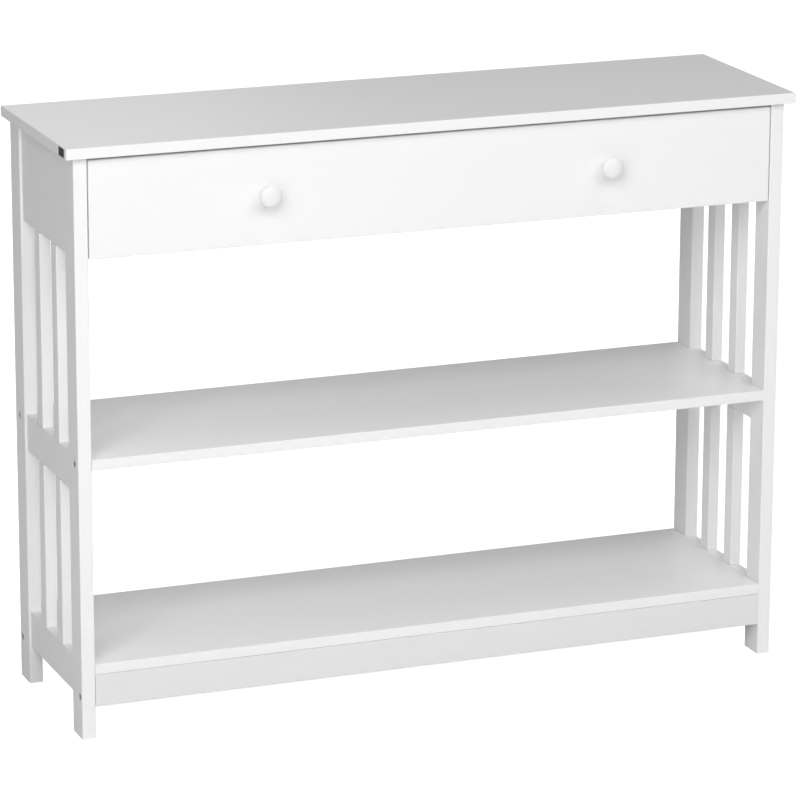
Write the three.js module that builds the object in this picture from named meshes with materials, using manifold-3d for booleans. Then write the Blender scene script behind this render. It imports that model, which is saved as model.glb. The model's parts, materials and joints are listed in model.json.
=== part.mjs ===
// Console table: two slatted side frames, two shelves, a flush drawer on roller runners and a thin top.
// Millimetres. +X to the right, +Y towards the back, +Z up, standing on the floor at z = 0.
import * as THREE from "three";
import { mergeVertices } from "three/addons/utils/BufferGeometryUtils.js";
import Module from "manifold-3d";

const wasm = await Module();
wasm.setup();

// Overall sizes.
const TABLE_WIDTH = 1000;
const TABLE_DEPTH = 286;
const TABLE_HEIGHT = 777;
const TOP_THICKNESS = 14;
const TOP_SIDE_OVERHANG = 12;
const TOP_FRONT_OVERHANG = 10.5;
const TOP_BACK_OVERHANG = 0.5;
const CLEARANCE = 0.3;
const EDGE_CHAMFER = 0.8;
const HARDWARE_SEGMENTS = 14;
const BOLT_HEAD_SEGMENTS = 32;
const ROLLER_SEGMENTS = 24;
const KNOB_SEGMENTS = 28;

// Side frames.
const LEG_WIDTH = 18;
const LEG_DEPTH = 40;
const RAIL_THICKNESS = 15;
const RAIL_HEIGHT = 49;
const PANEL_BOTTOM = 632;
const SLAT_WIDTH = 23;
const SLATS_PER_BAY = 2;

// Shelves and the aprons under the lower one.
const SHELF_THICKNESS = 14;
const MIDDLE_SHELF_TOP = 372;
const BOTTOM_SHELF_TOP = 100;
const APRON_BOTTOM = 43;
const APRON_THICKNESS = 18;
const APRON_JOINT_GAP = 0.3;

// Wooden joints.
const TENON_LENGTH = 15;
const TENON_THICKNESS = 8;
const TENON_SHOULDER = 8;
const SLAT_TENON_LENGTH = 8;
const SLAT_TENON_SHOULDER = 3;
// How far a tenon's solid reaches back past the joint line, into the piece it belongs to.
const TENON_ROOT = 1;
const REAR_PANEL_THICKNESS = 15;
const REAR_TENON_LENGTH = 8;
const REAR_TENON_THICKNESS = 7;
const REAR_TENON_SHOULDER = 12;
const CLEAT_SIZE = 14.5;
const CLEAT_LENGTH = 226;

// Connector bolts with barrel nuts.
const BOLT_RADIUS = 3;
const BOLT_HEAD_RADIUS = 5;
const BOLT_HEAD_HEIGHT = 6;
const BOLT_HEAD_RECESS = 0.5;
const BOLT_SHANK_LENGTH = 49;
const SOCKET_ACROSS_FLATS = 5;
const SOCKET_DEPTH = 3;
const NUT_RADIUS = 5;
const NUT_LENGTH = 9;
const NUT_SETBACK = 30;
const SHELF_BOLT_INSET = 16;
const APRON_BOLT_HEIGHT = 56;

// Drawer.
const DRAWER_FRONT_THICKNESS = 15;
const DRAWER_TOP_GAP = 4.5;
const DRAWER_SIDE_GAP = 1.5;
const DRAWER_BOARD = 12;
const DRAWER_BOX_BOTTOM = 645;
const DRAWER_BOX_HEIGHT = 90;
const DRAWER_BOX_LENGTH = 229;
const DRAWER_BOTTOM_THICKNESS = 3;
const DRAWER_BOTTOM_RISE = 8;
const GROOVE_DEPTH = 6;
const KNOB_SPACING = 470;
const KNOB_RISE = 3;
const KNOB_RADIUS = 14.5;
const KNOB_LENGTH = 25;
const KNOB_BORE_RADIUS = 2.3;
const KNOB_BORE_DEPTH = 14;
const SCREW_RADIUS = 2;
const SCREW_HEAD_RADIUS = 4;
const SCREW_HEAD_HEIGHT = 2.6;
const SCREW_SLOT_WIDTH = 1;
const SCREW_SLOT_DEPTH = 1.4;

// Roller runners, one pair on each side of the drawer.
const RUNNER_SPACE = 12.7;
const RUNNER_SHEET = 1.2;
const RUNNER_BOTTOM = 655;
const CABINET_RUNNER_FRONT = -113;
const CABINET_RUNNER_LENGTH = 230;
const TRACK_WIDTH = 10.2;
const LIP_WIDTH = 7.7;
const DRAWER_RUNNER_HEIGHT = 22;
const DRAWER_FLANGE_WIDTH = 9.4;
const FLANGE_TO_LIP = 0.8;
const ROLLER_RADIUS = 10.5;
const ROLLER_WIDTH = 6;
const ROLLER_SIDE_PLAY = 0.6;
const ROLLER_END_INSET = 13;
const AXLE_RADIUS = 2.5;
const AXLE_PLAY = 0.1;
const AXLE_HEAD_RADIUS = 3.8;
const AXLE_HEAD_WIDTH = 1;

// Blank tag let into the left edge of the top.
const TAG_LENGTH = 22;
const TAG_HEIGHT = 11;
const TAG_THICKNESS = 0.6;
const TAG_FROM_FRONT = 9;

// Planes worked out from the sizes above, with y = 0 at the middle of the top.
const FRAME_OUTER_X = TABLE_WIDTH / 2 - TOP_SIDE_OVERHANG;
const FRAME_INNER_X = FRAME_OUTER_X - LEG_WIDTH;
const FRONT_Y = -TABLE_DEPTH / 2 + TOP_FRONT_OVERHANG;
const BACK_Y = TABLE_DEPTH / 2 - TOP_BACK_OVERHANG;
const TOP_UNDERSIDE = TABLE_HEIGHT - TOP_THICKNESS;
const FRAME_TOP = TOP_UNDERSIDE - CLEARANCE;
const APRON_TOP = BOTTOM_SHELF_TOP - SHELF_THICKNESS - APRON_JOINT_GAP;
const BAY_FRONT_Y = FRONT_Y + LEG_DEPTH;
const BAY_BACK_Y = BACK_Y - LEG_DEPTH;
const RAIL_CENTRE_X = FRAME_INNER_X + RAIL_THICKNESS / 2;
const DRAWER_FRONT_BACK_Y = FRONT_Y + DRAWER_FRONT_THICKNESS;
const DRAWER_OUTER_X = FRAME_INNER_X - RUNNER_SPACE;
const DRAWER_INNER_X = DRAWER_OUTER_X - DRAWER_BOARD;
const DRAWER_BOX_BACK_Y = DRAWER_FRONT_BACK_Y + DRAWER_BOX_LENGTH;
const ROLLER_HEIGHT = RUNNER_BOTTOM + RUNNER_SHEET + CLEARANCE + ROLLER_RADIUS;
const FLANGE_UNDERSIDE = ROLLER_HEIGHT + ROLLER_RADIUS + CLEARANCE;
const CABINET_ROLLER_Y = CABINET_RUNNER_FRONT + ROLLER_END_INSET;
const DRAWER_RUNNER_FRONT = DRAWER_FRONT_BACK_Y + 2 * CLEARANCE;
const DRAWER_RUNNER_BACK = DRAWER_BOX_BACK_Y - 1;
const DRAWER_ROLLER_Y = DRAWER_RUNNER_BACK - ROLLER_END_INSET;
const KNOB_OVERREACH = KNOB_LENGTH + CLEARANCE - TOP_FRONT_OVERHANG;

const table = new THREE.Group();
table.name = "console_table";
// The origin is the middle of the whole footprint, knobs included.
table.position.y = KNOB_OVERREACH / 2;

// Materials: each piece gets its own copy.
const paintedWood = () => new THREE.MeshStandardMaterial({ color: 0xf4f4f3, roughness: 0.42, metalness: 0 });
const drawerBoard = () => new THREE.MeshStandardMaterial({ color: 0xefeeeb, roughness: 0.55, metalness: 0 });
const hardboard = () => new THREE.MeshStandardMaterial({ color: 0xe9e7e2, roughness: 0.6, metalness: 0 });
const zincSteel = () => new THREE.MeshStandardMaterial({ color: 0xb9bbbd, roughness: 0.35, metalness: 1 });
const coatedSteel = () => new THREE.MeshStandardMaterial({ color: 0xe6e6e3, roughness: 0.4, metalness: 0.2 });
const nylon = () => new THREE.MeshStandardMaterial({ color: 0xf0efe8, roughness: 0.5, metalness: 0 });
const darkTag = () => new THREE.MeshStandardMaterial({ color: 0x3a3a3c, roughness: 0.5, metalness: 0.1 });

// Solid operations.
function toSolid(geometry) {
  const bare = geometry.clone();
  bare.deleteAttribute("normal");
  bare.deleteAttribute("uv");
  const merged = mergeVertices(bare, 1e-4);
  const vertProperties = new Float32Array(merged.attributes.position.array);
  const triVerts = new Uint32Array(merged.index.array);
  return new wasm.Manifold(new wasm.Mesh({ numProp: 3, vertProperties, triVerts }));
}

function toGeometry(solid) {
  const mesh = solid.getMesh();
  const geometry = new THREE.BufferGeometry();
  geometry.setAttribute("position", new THREE.BufferAttribute(mesh.vertProperties, 3));
  geometry.setIndex(new THREE.BufferAttribute(mesh.triVerts, 1));
  geometry.computeVertexNormals();
  return geometry;
}

function shaped(geometry, joined, cut) {
  if (joined.length === 0 && cut.length === 0) {
    return geometry;
  }
  let solid = toSolid(geometry);
  for (const extra of joined) {
    solid = solid.add(toSolid(extra));
  }
  for (const hole of cut) {
    solid = solid.subtract(toSolid(hole));
  }
  return toGeometry(solid);
}

// Adds a piece centred at a place; what is joined to it or cut from it is given in table coordinates.
function addPiece(name, geometry, place, material, { joined = [], cut = [] } = {}) {
  const local = (shape) => shape.clone().translate(-place[0], -place[1], -place[2]);
  const mesh = new THREE.Mesh(shaped(geometry, joined.map(local), cut.map(local)), material);
  mesh.name = name;
  mesh.position.set(...place);
  table.add(mesh);
}

// Basic shapes.
function chamferedOutline(width, height, chamfer) {
  const x = width / 2;
  const y = height / 2;
  const shape = new THREE.Shape();
  shape.moveTo(-x + chamfer, -y);
  shape.lineTo(x - chamfer, -y);
  shape.lineTo(x, -y + chamfer);
  shape.lineTo(x, y - chamfer);
  shape.lineTo(x - chamfer, y);
  shape.lineTo(-x + chamfer, y);
  shape.lineTo(-x, y - chamfer);
  shape.lineTo(-x, -y + chamfer);
  shape.closePath();
  return shape;
}

// A board with its four long edges eased, and square ends to butt against its neighbours.
function bar(axis, [x, y, z]) {
  const section = { x: [z, y, x], y: [x, z, y], z: [x, y, z] }[axis];
  const shape = chamferedOutline(section[0], section[1], EDGE_CHAMFER);
  const geometry = new THREE.ExtrudeGeometry(shape, { depth: section[2], bevelEnabled: false });
  geometry.translate(0, 0, -section[2] / 2);
  if (axis === "x") {
    geometry.rotateY(Math.PI / 2);
  }
  if (axis === "y") {
    geometry.rotateX(Math.PI / 2);
  }
  return geometry;
}

// A board with every edge eased.
function slab([x, y, z]) {
  const shape = chamferedOutline(x, y, EDGE_CHAMFER);
  const geometry = new THREE.ExtrudeGeometry(shape, {
    depth: z - 2 * EDGE_CHAMFER,
    bevelThickness: EDGE_CHAMFER,
    bevelSize: EDGE_CHAMFER,
    bevelOffset: -EDGE_CHAMFER,
    bevelSegments: 1,
  });
  return geometry.translate(0, 0, EDGE_CHAMFER - z / 2);
}

function block([x, y, z], centre) {
  return new THREE.BoxGeometry(x, y, z).translate(...centre);
}

// A block around another one, larger by the fitting clearance on every side.
function socketFor([x, y, z], centre) {
  return block([x + 2 * CLEARANCE, y + 2 * CLEARANCE, z + 2 * CLEARANCE], centre);
}

function rod(axis, radius, length, centre, segments = HARDWARE_SEGMENTS) {
  const geometry = new THREE.CylinderGeometry(radius, radius, length, segments);
  if (axis === "x") {
    geometry.rotateZ(Math.PI / 2);
  }
  if (axis === "z") {
    geometry.rotateX(Math.PI / 2);
  }
  return geometry.translate(...centre);
}

const sides = [
  { name: "left", sign: -1 },
  { name: "right", sign: 1 },
];

const ends = [
  { name: "front", sign: -1, face: FRONT_Y, bay: BAY_FRONT_Y },
  { name: "back", sign: 1, face: BACK_Y, bay: BAY_BACK_Y },
];

// The horizontal members of a side frame, from the bottom up.
const frameMembers = [
  { name: "lower_rail", bottom: BOTTOM_SHELF_TOP - RAIL_HEIGHT, top: BOTTOM_SHELF_TOP },
  { name: "middle_rail", bottom: MIDDLE_SHELF_TOP - RAIL_HEIGHT, top: MIDDLE_SHELF_TOP },
  { name: "upper_panel", bottom: PANEL_BOTTOM, top: FRAME_TOP },
];

const frameBays = [
  { name: "lower", below: frameMembers[0], above: frameMembers[1] },
  { name: "upper", below: frameMembers[1], above: frameMembers[2] },
];

// Tenon of a horizontal member, reaching from its end into a leg.
function memberTenon(side, end, member) {
  const size = [TENON_THICKNESS, TENON_LENGTH + TENON_ROOT, member.top - member.bottom - 2 * TENON_SHOULDER];
  const y = end.bay + end.sign * (TENON_LENGTH - TENON_ROOT) / 2;
  const centre = [side.sign * RAIL_CENTRE_X, y, (member.top + member.bottom) / 2];
  return { size, centre };
}

function slatCentreY(index) {
  const span = BAY_BACK_Y - BAY_FRONT_Y;
  const gap = (span - SLATS_PER_BAY * SLAT_WIDTH) / (SLATS_PER_BAY + 1);
  return BAY_FRONT_Y + gap * (index + 1) + SLAT_WIDTH * (index + 0.5);
}

function slatTenon(side, index, member, towards) {
  const size = [TENON_THICKNESS, SLAT_WIDTH - 2 * SLAT_TENON_SHOULDER, SLAT_TENON_LENGTH + TENON_ROOT];
  const face = towards > 0 ? member.bottom : member.top;
  const z = face + towards * (SLAT_TENON_LENGTH - TENON_ROOT) / 2;
  return { size, centre: [side.sign * RAIL_CENTRE_X, slatCentreY(index), z] };
}

function rearPanelTenon(side) {
  const height = FRAME_TOP - PANEL_BOTTOM - 2 * REAR_TENON_SHOULDER;
  const size = [REAR_TENON_LENGTH + TENON_ROOT, REAR_TENON_THICKNESS, height];
  const x = side.sign * (FRAME_INNER_X + (REAR_TENON_LENGTH - TENON_ROOT) / 2);
  return { size, centre: [x, BACK_Y - REAR_PANEL_THICKNESS / 2, (FRAME_TOP + PANEL_BOTTOM) / 2] };
}

// Bolts through the legs. Each barrel nut lies in a blind hole that opens towards "opening".
const boltRows = [
  {
    name: "middle_shelf",
    z: MIDDLE_SHELF_TOP - SHELF_THICKNESS / 2,
    inset: SHELF_BOLT_INSET,
    nutAxis: "z",
    opening: () => [0, 0, -1],
    reach: SHELF_THICKNESS / 2,
  },
  {
    name: "apron",
    z: APRON_BOLT_HEIGHT,
    inset: APRON_THICKNESS / 2,
    nutAxis: "y",
    opening: (end) => [0, -end.sign, 0],
    reach: APRON_THICKNESS / 2,
  },
];

function boltY(row, end) {
  return end.face - end.sign * row.inset;
}

function legBoltHoles(side, end) {
  const holes = [];
  for (const row of boltRows) {
    const y = boltY(row, end);
    const recess = BOLT_HEAD_HEIGHT + BOLT_HEAD_RECESS + CLEARANCE;
    const recessX = side.sign * (FRAME_OUTER_X - recess / 2 + 1);
    const recessRadius = BOLT_HEAD_RADIUS + 2 * CLEARANCE;
    holes.push(rod("x", recessRadius, recess + 2, [recessX, y, row.z], BOLT_HEAD_SEGMENTS));
    const throughX = side.sign * (FRAME_INNER_X + LEG_WIDTH / 2);
    holes.push(rod("x", BOLT_RADIUS + 2 * CLEARANCE, LEG_WIDTH + 2, [throughX, y, row.z]));
  }
  return holes;
}

// Holes in a shelf or apron for one bolt and its barrel nut.
function boardBoltHoles(side, end, row) {
  const y = boltY(row, end);
  const depth = FRAME_INNER_X - (FRAME_OUTER_X - BOLT_SHANK_LENGTH - BOLT_HEAD_HEIGHT) + 5;
  const boreX = side.sign * (FRAME_INNER_X + 1 - depth / 2);
  const direction = row.opening(end);
  const blind = NUT_LENGTH / 2 + CLEARANCE;
  const length = blind + row.reach + 1;
  const shift = (row.reach + 1 - blind) / 2;
  const nutX = side.sign * (FRAME_INNER_X - NUT_SETBACK);
  const centre = [nutX, y + direction[1] * shift, row.z + direction[2] * shift];
  return [
    rod("x", BOLT_RADIUS + 2 * CLEARANCE, depth + 2, [boreX, y, row.z]),
    rod(row.nutAxis, NUT_RADIUS + CLEARANCE, length, centre),
  ];
}

function rowHoles(row, chosenEnds) {
  return sides.flatMap((side) => chosenEnds.flatMap((end) => boardBoltHoles(side, end, row)));
}

function addTop() {
  const place = [0, 0, TABLE_HEIGHT - TOP_THICKNESS / 2];
  const tagPlace = [
    -TABLE_WIDTH / 2 + TAG_THICKNESS / 2,
    -TABLE_DEPTH / 2 + TAG_FROM_FRONT + TAG_LENGTH / 2,
    place[2],
  ];
  const tagSize = [TAG_THICKNESS, TAG_LENGTH, TAG_HEIGHT];
  const pocket = socketFor(tagSize, tagPlace);
  const board = slab([TABLE_WIDTH, TABLE_DEPTH, TOP_THICKNESS]);
  addPiece("table_top", board, place, paintedWood(), { cut: [pocket] });
  addPiece("edge_tag", block(tagSize, [0, 0, 0]), tagPlace, darkTag());
}

function addLeg(side, end) {
  const size = [LEG_WIDTH, LEG_DEPTH, FRAME_TOP];
  const place = [side.sign * (FRAME_INNER_X + LEG_WIDTH / 2), (end.face + end.bay) / 2, FRAME_TOP / 2];
  const tenons = frameMembers.map((member) => memberTenon(side, end, member));
  if (end.name === "back") {
    tenons.push(rearPanelTenon(side));
  }
  const mortises = tenons.map(({ size: tenonSize, centre }) => socketFor(tenonSize, centre));
  const cut = [...mortises, ...legBoltHoles(side, end)];
  addPiece(`${side.name}_${end.name}_leg`, bar("z", size), place, paintedWood(), { cut });
}

function addFrameMember(side, member) {
  const length = BAY_BACK_Y - BAY_FRONT_Y - 2 * CLEARANCE;
  const size = [RAIL_THICKNESS, length, member.top - member.bottom];
  const place = [side.sign * RAIL_CENTRE_X, (BAY_FRONT_Y + BAY_BACK_Y) / 2, (member.top + member.bottom) / 2];
  const tenons = ends.map((end) => memberTenon(side, end, member));
  const joined = tenons.map((tenon) => block(tenon.size, tenon.centre));
  const cut = [];
  for (const bay of frameBays) {
    for (let index = 0; index < SLATS_PER_BAY; index += 1) {
      if (bay.below === member || bay.above === member) {
        const tenon = slatTenon(side, index, member, bay.above === member ? 1 : -1);
        cut.push(socketFor(tenon.size, tenon.centre));
      }
    }
  }
  addPiece(`${side.name}_${member.name}`, bar("y", size), place, paintedWood(), { joined, cut });
}

function addSlats(side, bay) {
  const bottom = bay.below.top + CLEARANCE;
  const top = bay.above.bottom - CLEARANCE;
  const places = ["front", "back"];
  for (let index = 0; index < SLATS_PER_BAY; index += 1) {
    const place = [side.sign * RAIL_CENTRE_X, slatCentreY(index), (bottom + top) / 2];
    const tenons = [slatTenon(side, index, bay.below, -1), slatTenon(side, index, bay.above, 1)];
    const joined = tenons.map((tenon) => block(tenon.size, tenon.centre));
    const name = `${side.name}_${bay.name}_${places[index]}_slat`;
    addPiece(name, bar("z", [RAIL_THICKNESS, SLAT_WIDTH, top - bottom]), place, paintedWood(), { joined });
  }
}

function addShelvesAndAprons() {
  const [shelfBolts, apronBolts] = boltRows;
  const width = 2 * (FRAME_INNER_X - CLEARANCE);
  const shelfSize = [width, BACK_Y - FRONT_Y, SHELF_THICKNESS];
  const shelfY = (FRONT_Y + BACK_Y) / 2;
  const middlePlace = [0, shelfY, MIDDLE_SHELF_TOP - SHELF_THICKNESS / 2];
  const bottomPlace = [0, shelfY, BOTTOM_SHELF_TOP - SHELF_THICKNESS / 2];
  const cut = rowHoles(shelfBolts, ends);
  addPiece("middle_shelf", bar("x", shelfSize), middlePlace, paintedWood(), { cut });
  addPiece("bottom_shelf", bar("x", shelfSize), bottomPlace, paintedWood());
  for (const end of ends) {
    const place = [0, end.face - end.sign * APRON_THICKNESS / 2, (APRON_BOTTOM + APRON_TOP) / 2];
    const apron = bar("x", [width, APRON_THICKNESS, APRON_TOP - APRON_BOTTOM]);
    addPiece(`bottom_${end.name}_apron`, apron, place, paintedWood(), { cut: rowHoles(apronBolts, [end]) });
  }
}

function addRearPanelAndCleats() {
  const width = 2 * (FRAME_INNER_X - CLEARANCE);
  const place = [0, BACK_Y - REAR_PANEL_THICKNESS / 2, (PANEL_BOTTOM + FRAME_TOP) / 2];
  const joined = sides.map(rearPanelTenon).map((tenon) => block(tenon.size, tenon.centre));
  const panel = bar("x", [width, REAR_PANEL_THICKNESS, FRAME_TOP - PANEL_BOTTOM]);
  addPiece("rear_panel", panel, place, paintedWood(), { joined });
  for (const side of sides) {
    const cleatX = side.sign * (FRAME_INNER_X - CLEARANCE - CLEAT_SIZE / 2);
    const cleatPlace = [cleatX, (BAY_FRONT_Y + BAY_BACK_Y) / 2, FRAME_TOP - CLEAT_SIZE / 2];
    const cleat = bar("y", [CLEAT_SIZE, CLEAT_LENGTH, CLEAT_SIZE]);
    addPiece(`${side.name}_top_cleat`, cleat, cleatPlace, paintedWood());
  }
}

// A socket-head bolt lying along X with its head outwards.
function bolt(side) {
  const shankCentre = [-side.sign * (BOLT_SHANK_LENGTH - 1) / 2, 0, 0];
  const shank = rod("x", BOLT_RADIUS, BOLT_SHANK_LENGTH + 1, shankCentre);
  const headCentre = [side.sign * BOLT_HEAD_HEIGHT / 2, 0, 0];
  const head = rod("x", BOLT_HEAD_RADIUS, BOLT_HEAD_HEIGHT, headCentre, BOLT_HEAD_SEGMENTS);
  const socketX = side.sign * (BOLT_HEAD_HEIGHT - SOCKET_DEPTH / 2 + 0.5);
  const socket = rod("x", SOCKET_ACROSS_FLATS / Math.sqrt(3), SOCKET_DEPTH + 1, [socketX, 0, 0], 6);
  return shaped(head, [shank], [socket]);
}

function barrelNut(axis) {
  const hole = rod("x", BOLT_RADIUS + CLEARANCE, 4 * NUT_RADIUS, [0, 0, 0]);
  return shaped(rod(axis, NUT_RADIUS, NUT_LENGTH, [0, 0, 0]), [], [hole]);
}

function addBolts() {
  for (const side of sides) {
    for (const end of ends) {
      for (const row of boltRows) {
        const y = boltY(row, end);
        const headX = FRAME_OUTER_X - BOLT_HEAD_RECESS - BOLT_HEAD_HEIGHT;
        const name = `${side.name}_${end.name}_${row.name}`;
        addPiece(`${name}_bolt`, bolt(side), [side.sign * headX, y, row.z], zincSteel());
        const nutPlace = [side.sign * (FRAME_INNER_X - NUT_SETBACK), y, row.z];
        addPiece(`${name}_barrel_nut`, barrelNut(row.nutAxis), nutPlace, zincSteel());
      }
    }
  }
}

// Drawer box.
const knobPlaces = sides.map((side) => ({
  name: side.name,
  x: side.sign * KNOB_SPACING / 2,
  z: (PANEL_BOTTOM + TOP_UNDERSIDE - DRAWER_TOP_GAP) / 2 + KNOB_RISE,
}));

// The groove that holds the drawer's bottom runs out past the back of the box.
function bottomGroove() {
  const length = DRAWER_BOX_LENGTH + GROOVE_DEPTH + 1;
  const size = [2 * (DRAWER_INNER_X + GROOVE_DEPTH), length, DRAWER_BOTTOM_THICKNESS + 2 * CLEARANCE];
  const y = DRAWER_BOX_BACK_Y + 1 - length / 2;
  const z = DRAWER_BOX_BOTTOM + DRAWER_BOTTOM_RISE + DRAWER_BOTTOM_THICKNESS / 2;
  return block(size, [0, y, z]);
}

function addDrawer() {
  const frontTop = TOP_UNDERSIDE - DRAWER_TOP_GAP;
  const frontSize = [2 * (FRAME_INNER_X - DRAWER_SIDE_GAP), DRAWER_FRONT_THICKNESS, frontTop - PANEL_BOTTOM];
  const frontPlace = [0, FRONT_Y + DRAWER_FRONT_THICKNESS / 2, (PANEL_BOTTOM + frontTop) / 2];
  const screwHoles = knobPlaces.map(({ x, z }) => rod("y", SCREW_RADIUS + CLEARANCE, 40, [x, FRONT_Y, z]));
  const cut = [bottomGroove(), ...screwHoles];
  addPiece("drawer_front", slab(frontSize), frontPlace, paintedWood(), { cut });

  const boxZ = DRAWER_BOX_BOTTOM + DRAWER_BOX_HEIGHT / 2;
  const sideLength = DRAWER_BOX_LENGTH - CLEARANCE;
  const sideY = DRAWER_BOX_BACK_Y - sideLength / 2;
  for (const side of sides) {
    const place = [side.sign * (DRAWER_OUTER_X - DRAWER_BOARD / 2), sideY, boxZ];
    const board = bar("y", [DRAWER_BOARD, sideLength, DRAWER_BOX_HEIGHT]);
    addPiece(`drawer_${side.name}_side`, board, place, drawerBoard(), { cut: [bottomGroove()] });
  }

  const floorBottom = DRAWER_BOX_BOTTOM + DRAWER_BOTTOM_RISE;
  const backBottom = floorBottom + DRAWER_BOTTOM_THICKNESS + CLEARANCE;
  const backTop = DRAWER_BOX_BOTTOM + DRAWER_BOX_HEIGHT;
  const backSize = [2 * (DRAWER_INNER_X - CLEARANCE), DRAWER_BOARD, backTop - backBottom];
  const backPlace = [0, DRAWER_BOX_BACK_Y - DRAWER_BOARD / 2, (backBottom + backTop) / 2];
  addPiece("drawer_back", bar("x", backSize), backPlace, drawerBoard());

  const floorFront = DRAWER_FRONT_BACK_Y - GROOVE_DEPTH + 2 * CLEARANCE;
  const floorSize = [
    2 * (DRAWER_INNER_X + GROOVE_DEPTH - CLEARANCE),
    DRAWER_BOX_BACK_Y - floorFront,
    DRAWER_BOTTOM_THICKNESS,
  ];
  const floorPlace = [0, (floorFront + DRAWER_BOX_BACK_Y) / 2, floorBottom + DRAWER_BOTTOM_THICKNESS / 2];
  addPiece("drawer_bottom", block(floorSize, [0, 0, 0]), floorPlace, hardboard());
}

// Turned knob: foot, slim neck and a crowned head, bored from behind for its screw.
function knob() {
  const neck = new THREE.CubicBezierCurve(
    new THREE.Vector2(8.5, 2),
    new THREE.Vector2(6, 6),
    new THREE.Vector2(6.2, 9),
    new THREE.Vector2(10.5, 13),
  );
  const crown = new THREE.CubicBezierCurve(
    new THREE.Vector2(KNOB_RADIUS, 18),
    new THREE.Vector2(KNOB_RADIUS, 22.5),
    new THREE.Vector2(9, KNOB_LENGTH),
    new THREE.Vector2(0, KNOB_LENGTH),
  );
  const profile = [
    new THREE.Vector2(0, KNOB_BORE_DEPTH),
    new THREE.Vector2(KNOB_BORE_RADIUS, KNOB_BORE_DEPTH),
    new THREE.Vector2(KNOB_BORE_RADIUS, 0),
    new THREE.Vector2(8.5, 0),
    ...neck.getPoints(5),
    new THREE.Vector2(13.4, 15),
    ...crown.getPoints(6),
  ];
  // The lathe turns about Y; the knob's head then points to the front, along -Y.
  return new THREE.LatheGeometry(profile, KNOB_SEGMENTS).rotateX(Math.PI);
}

// Pan-head screw pointing to the front, with a crossed recess in its head.
function knobScrew() {
  const tip = DRAWER_FRONT_THICKNESS + KNOB_BORE_DEPTH - 2;
  const profile = [
    new THREE.Vector2(0, SCREW_HEAD_HEIGHT),
    new THREE.Vector2(SCREW_HEAD_RADIUS * 0.7, SCREW_HEAD_HEIGHT * 0.9),
    new THREE.Vector2(SCREW_HEAD_RADIUS, SCREW_HEAD_HEIGHT * 0.4),
    new THREE.Vector2(SCREW_HEAD_RADIUS, 0),
    new THREE.Vector2(SCREW_RADIUS, 0),
    new THREE.Vector2(SCREW_RADIUS, -tip),
    new THREE.Vector2(0, -tip),
  ].reverse();
  const recess = [0, SCREW_HEAD_HEIGHT, 0];
  const slotSize = [SCREW_SLOT_WIDTH, 2 * SCREW_SLOT_DEPTH, SCREW_HEAD_RADIUS];
  const slots = [block(slotSize, recess), block([slotSize[2], slotSize[1], slotSize[0]], recess)];
  return shaped(new THREE.LatheGeometry(profile, HARDWARE_SEGMENTS), [], slots);
}

function addKnobs() {
  for (const { name, x, z } of knobPlaces) {
    addPiece(`${name}_knob`, knob(), [x, FRONT_Y - CLEARANCE, z], paintedWood());
    addPiece(`${name}_knob_screw`, knobScrew(), [x, DRAWER_FRONT_BACK_Y + CLEARANCE, z], zincSteel());
  }
}

// Runner shapes: "out" is the distance inwards from the side frame's inner face.
function runnerBlock(side, outFrom, outTo, yFrom, yTo, zFrom, zTo) {
  const x = side.sign * (FRAME_INNER_X - (outFrom + outTo) / 2);
  return block([outTo - outFrom, yTo - yFrom, zTo - zFrom], [x, (yFrom + yTo) / 2, (zFrom + zTo) / 2]);
}

function runnerAxle(side, outFrom, outTo, headFrom, y) {
  const axleX = side.sign * (FRAME_INNER_X - (outFrom + outTo) / 2);
  const headX = side.sign * (FRAME_INNER_X - headFrom - AXLE_HEAD_WIDTH / 2);
  return [
    rod("x", AXLE_RADIUS, outTo - outFrom, [axleX, y, ROLLER_HEIGHT], ROLLER_SEGMENTS),
    rod("x", AXLE_HEAD_RADIUS, AXLE_HEAD_WIDTH, [headX, y, ROLLER_HEIGHT], ROLLER_SEGMENTS),
  ];
}

function joinedPiece(name, shapes, place, material) {
  const local = shapes.map((shape) => shape.clone().translate(-place[0], -place[1], -place[2]));
  addPiece(name, shaped(local[0], local.slice(1), []), place, material);
}

function rollerRing() {
  const inner = AXLE_RADIUS + AXLE_PLAY;
  const half = ROLLER_WIDTH / 2;
  const profile = [
    new THREE.Vector2(inner, -half),
    new THREE.Vector2(ROLLER_RADIUS - 0.5, -half),
    new THREE.Vector2(ROLLER_RADIUS, -half + 0.5),
    new THREE.Vector2(ROLLER_RADIUS, half - 0.5),
    new THREE.Vector2(ROLLER_RADIUS - 0.5, half),
    new THREE.Vector2(inner, half),
    new THREE.Vector2(inner, -half),
  ];
  return new THREE.LatheGeometry(profile, ROLLER_SEGMENTS).rotateZ(Math.PI / 2);
}

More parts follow.
